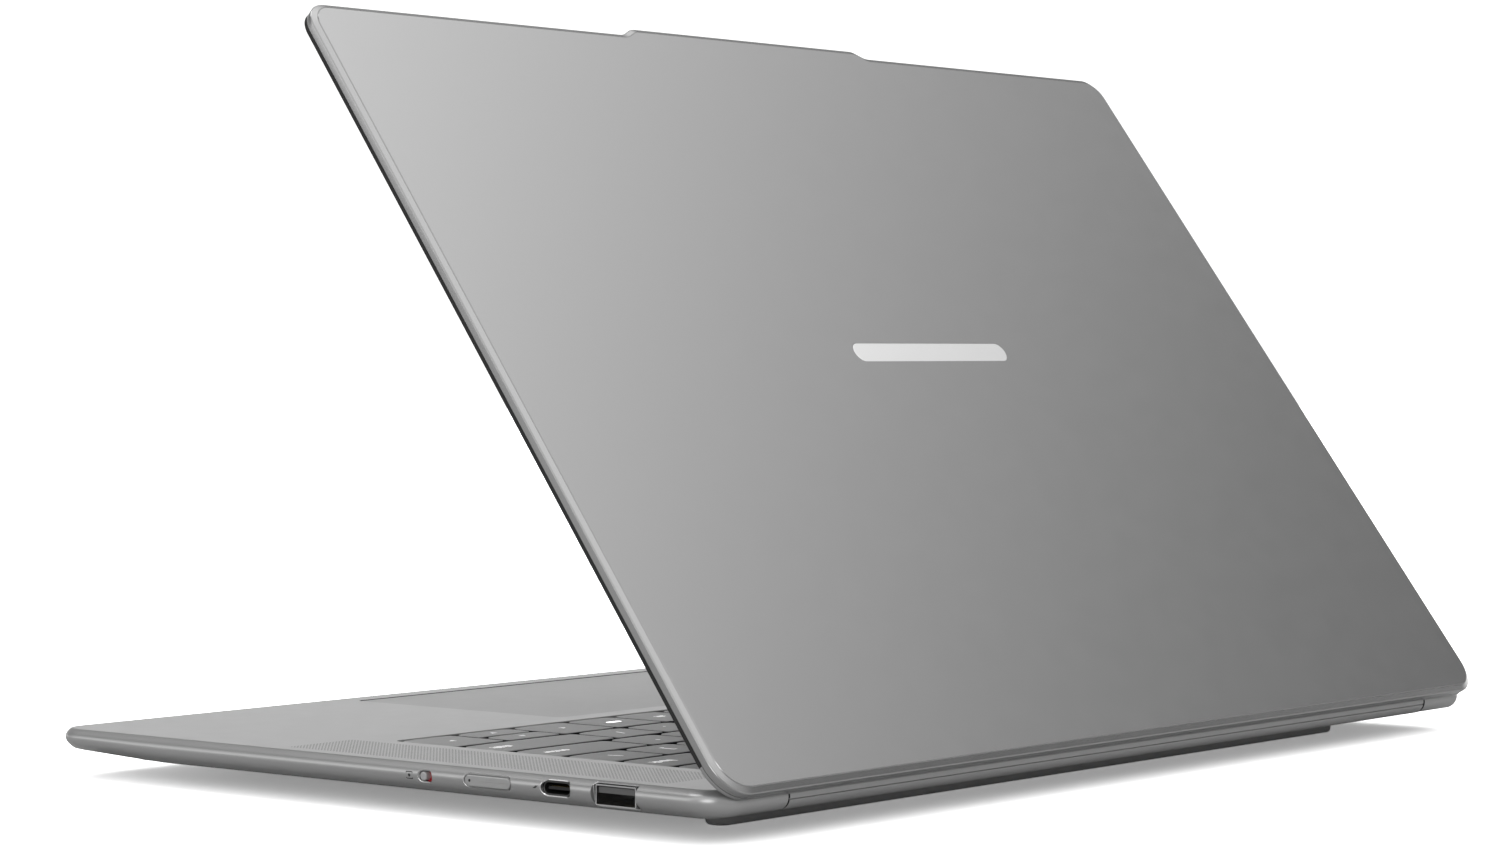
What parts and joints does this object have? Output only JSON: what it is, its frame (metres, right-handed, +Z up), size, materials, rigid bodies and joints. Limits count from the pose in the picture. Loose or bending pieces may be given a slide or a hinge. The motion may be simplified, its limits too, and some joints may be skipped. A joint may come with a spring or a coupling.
{
  "type": "laptop computer",
  "caption": "Thin clamshell laptop computer with a 15.3 inch display, centred keyboard between speaker strips, wide touchpad, full-width hinge bar and ports on both sides.",
  "frame": {"origin": "centre of the contact face of the long rear foot, on the table", "axes": "+X towards the user's right, +Y towards the rear, +Z up; the deck is level and parallel to the table"},
  "size_m": [0.3438, 0.237, 0.2012],
  "materials": {
    "deck_aluminium": "bead-blasted anodised grey",
    "lid_aluminium": "bead-blasted anodised grey",
    "bottom_aluminium": "bead-blasted anodised grey",
    "bar_plastic": "painted matte grey",
    "keycap": "matte grey with pale legends",
    "touchpad": "etched glass in deck grey",
    "bezel_glass": "black printed cover glass",
    "display_black": "dark panel",
    "gasket_rubber": "black",
    "foot_rubber": "dark grey",
    "polished_inlay": "polished",
    "dark_steel": "black coated",
    "fan_steel": "dark coated",
    "port_steel": "bright",
    "fin_aluminium": "plain",
    "copper": "copper",
    "circuit_board": "green solder mask",
    "chip_black": "matte",
    "shield_can": "satin",
    "battery_wrap": "matte wrap",
    "fan_plastic": "matte",
    "speaker_plastic": "matte",
    "jack_plastic": "matte",
    "cable_black": "matte",
    "shutter_red": "red"
  },
  "bodies": {
    "base": {"top_case": "deck_aluminium", "bottom_cover": "bottom_aluminium", "cover_screws": "dark_steel", "rear_foot": "foot_rubber", "front_foot": "foot_rubber", "keyboard_plate": "dark_steel", "main_board": "circuit_board", "memory_drive": "chip_black", "wireless_card": "shield_can", "battery_pack": "battery_wrap", "fan_housing_left": "fan_steel", "fan_housing_right": "fan_steel", "heat_pipes": "copper", "fin_stacks": "fin_aluminium", "speaker_left": "speaker_plastic", "speaker_right": "speaker_plastic", "connector_boards": "circuit_board", "usb_c_port_right": "port_steel", "usb_a_port": "port_steel", "hdmi_port": "port_steel", "usb_c_ports_left": "port_steel", "audio_jack": "jack_plastic", "hinge_brackets": "dark_steel", "bracket_screws": "port_steel"},
    "lid": {"lid_cover": "lid_aluminium", "rim_gasket": "gasket_rubber", "display_glass": "bezel_glass", "display_panel": "display_black", "camera_module": "chip_black", "display_cable": "cable_black", "hinge_cover": "bar_plastic", "hinge_arms": "dark_steel", "lid_inlay": "polished_inlay"},
    "fan_rotor_left": {"fan_rotor_left": "fan_plastic"},
    "fan_rotor_right": {"fan_rotor_right": "fan_plastic"},
    "touchpad": {"touchpad_glass": "touchpad", "touchpad_module": "circuit_board"},
    "power_button": {"power_button": "lid_aluminium"},
    "shutter_slider": {"shutter_slider": "shutter_red"},
    "function_keys": {"function_keys": "keycap"},
    "number_keys": {"number_keys": "keycap"},
    "backspace_key": {"backspace_key": "keycap"},
    "tab_key": {"tab_key": "keycap"},
    "upper_letter_keys": {"upper_letter_keys": "keycap"},
    "backslash_key": {"backslash_key": "keycap"},
    "caps_key": {"caps_key": "keycap"},
    "home_letter_keys": {"home_letter_keys": "keycap"},
    "enter_key": {"enter_key": "keycap"},
    "left_shift_key": {"left_shift_key": "keycap"},
    "lower_letter_keys": {"lower_letter_keys": "keycap"},
    "right_shift_key": {"right_shift_key": "keycap"},
    "modifier_keys": {"modifier_keys": "keycap"},
    "space_bar": {"space_bar": "keycap"},
    "left_arrow_key": {"left_arrow_key": "keycap"},
    "up_arrow_key": {"up_arrow_key": "keycap"},
    "down_arrow_key": {"down_arrow_key": "keycap"},
    "right_arrow_key": {"right_arrow_key": "keycap"}
  },
  "joints": [
    {"name": "lid_hinge", "type": "hinge", "parent": "base", "child": "lid", "pos_m": [0, 0.0264, 0.0099], "axis": [-1, 0, 0], "range_deg": [-53.66, 126.34]},
    {"name": "fan_left_spin", "type": "hinge", "parent": "base", "child": "fan_rotor_left", "pos_m": [-0.092, -0.0437, 0.0071], "axis": [0, 0, 1], "continuous": true},
    {"name": "fan_right_spin", "type": "hinge", "parent": "base", "child": "fan_rotor_right", "pos_m": [0.092, -0.0437, 0.0071], "axis": [0, 0, 1], "continuous": true},
    {"name": "pad_click", "type": "hinge", "parent": "base", "child": "touchpad", "pos_m": [0, -0.1166, 0.0126], "axis": [1, 0, 0], "range_deg": [0, 0.35], "stiffness_Nm_per_rad": 60},
    {"name": "button_power_press", "type": "slide", "parent": "base", "child": "power_button", "axis": [-1, 0, 0], "range_m": [0, 0.0004], "stiffness_N_per_m": 4000},
    {"name": "camera_shutter_slide", "type": "slide", "parent": "base", "child": "shutter_slider", "axis": [0, 1, 0], "range_m": [0, 0.0019]},
    {"name": "press_function", "type": "slide", "parent": "base", "child": "function_keys", "axis": [0, 0, -1], "range_m": [0, 0.0014], "stiffness_N_per_m": 300},
    {"name": "press_number", "type": "slide", "parent": "base", "child": "number_keys", "axis": [0, 0, -1], "range_m": [0, 0.0014], "stiffness_N_per_m": 300},
    {"name": "press_backspace", "type": "slide", "parent": "base", "child": "backspace_key", "axis": [0, 0, -1], "range_m": [0, 0.0014], "stiffness_N_per_m": 300},
    {"name": "press_tab", "type": "slide", "parent": "base", "child": "tab_key", "axis": [0, 0, -1], "range_m": [0, 0.0014], "stiffness_N_per_m": 300},
    {"name": "press_upper_letter", "type": "slide", "parent": "base", "child": "upper_letter_keys", "axis": [0, 0, -1], "range_m": [0, 0.0014], "stiffness_N_per_m": 300},
    {"name": "press_backslash", "type": "slide", "parent": "base", "child": "backslash_key", "axis": [0, 0, -1], "range_m": [0, 0.0014], "stiffness_N_per_m": 300},
    {"name": "press_caps", "type": "slide", "parent": "base", "child": "caps_key", "axis": [0, 0, -1], "range_m": [0, 0.0014], "stiffness_N_per_m": 300},
    {"name": "press_home_letter", "type": "slide", "parent": "base", "child": "home_letter_keys", "axis": [0, 0, -1], "range_m": [0, 0.0014], "stiffness_N_per_m": 300},
    {"name": "press_enter", "type": "slide", "parent": "base", "child": "enter_key", "axis": [0, 0, -1], "range_m": [0, 0.0014], "stiffness_N_per_m": 300},
    {"name": "press_left_shift", "type": "slide", "parent": "base", "child": "left_shift_key", "axis": [0, 0, -1], "range_m": [0, 0.0014], "stiffness_N_per_m": 300},
    {"name": "press_lower_letter", "type": "slide", "parent": "base", "child": "lower_letter_keys", "axis": [0, 0, -1], "range_m": [0, 0.0014], "stiffness_N_per_m": 300},
    {"name": "press_right_shift", "type": "slide", "parent": "base", "child": "right_shift_key", "axis": [0, 0, -1], "range_m": [0, 0.0014], "stiffness_N_per_m": 300},
    {"name": "press_modifier", "type": "slide", "parent": "base", "child": "modifier_keys", "axis": [0, 0, -1], "range_m": [0, 0.0014], "stiffness_N_per_m": 300},
    {"name": "press_space_bar", "type": "slide", "parent": "base", "child": "space_bar", "axis": [0, 0, -1], "range_m": [0, 0.0014], "stiffness_N_per_m": 300},
    {"name": "press_left_arrow", "type": "slide", "parent": "base", "child": "left_arrow_key", "axis": [0, 0, -1], "range_m": [0, 0.0014], "stiffness_N_per_m": 300},
    {"name": "press_up_arrow", "type": "slide", "parent": "base", "child": "up_arrow_key", "axis": [0, 0, -1], "range_m": [0, 0.0014], "stiffness_N_per_m": 300},
    {"name": "press_down_arrow", "type": "slide", "parent": "base", "child": "down_arrow_key", "axis": [0, 0, -1], "range_m": [0, 0.0014], "stiffness_N_per_m": 300},
    {"name": "press_right_arrow", "type": "slide", "parent": "base", "child": "right_arrow_key", "axis": [0, 0, -1], "range_m": [0, 0.0014], "stiffness_N_per_m": 300}
  ]
}
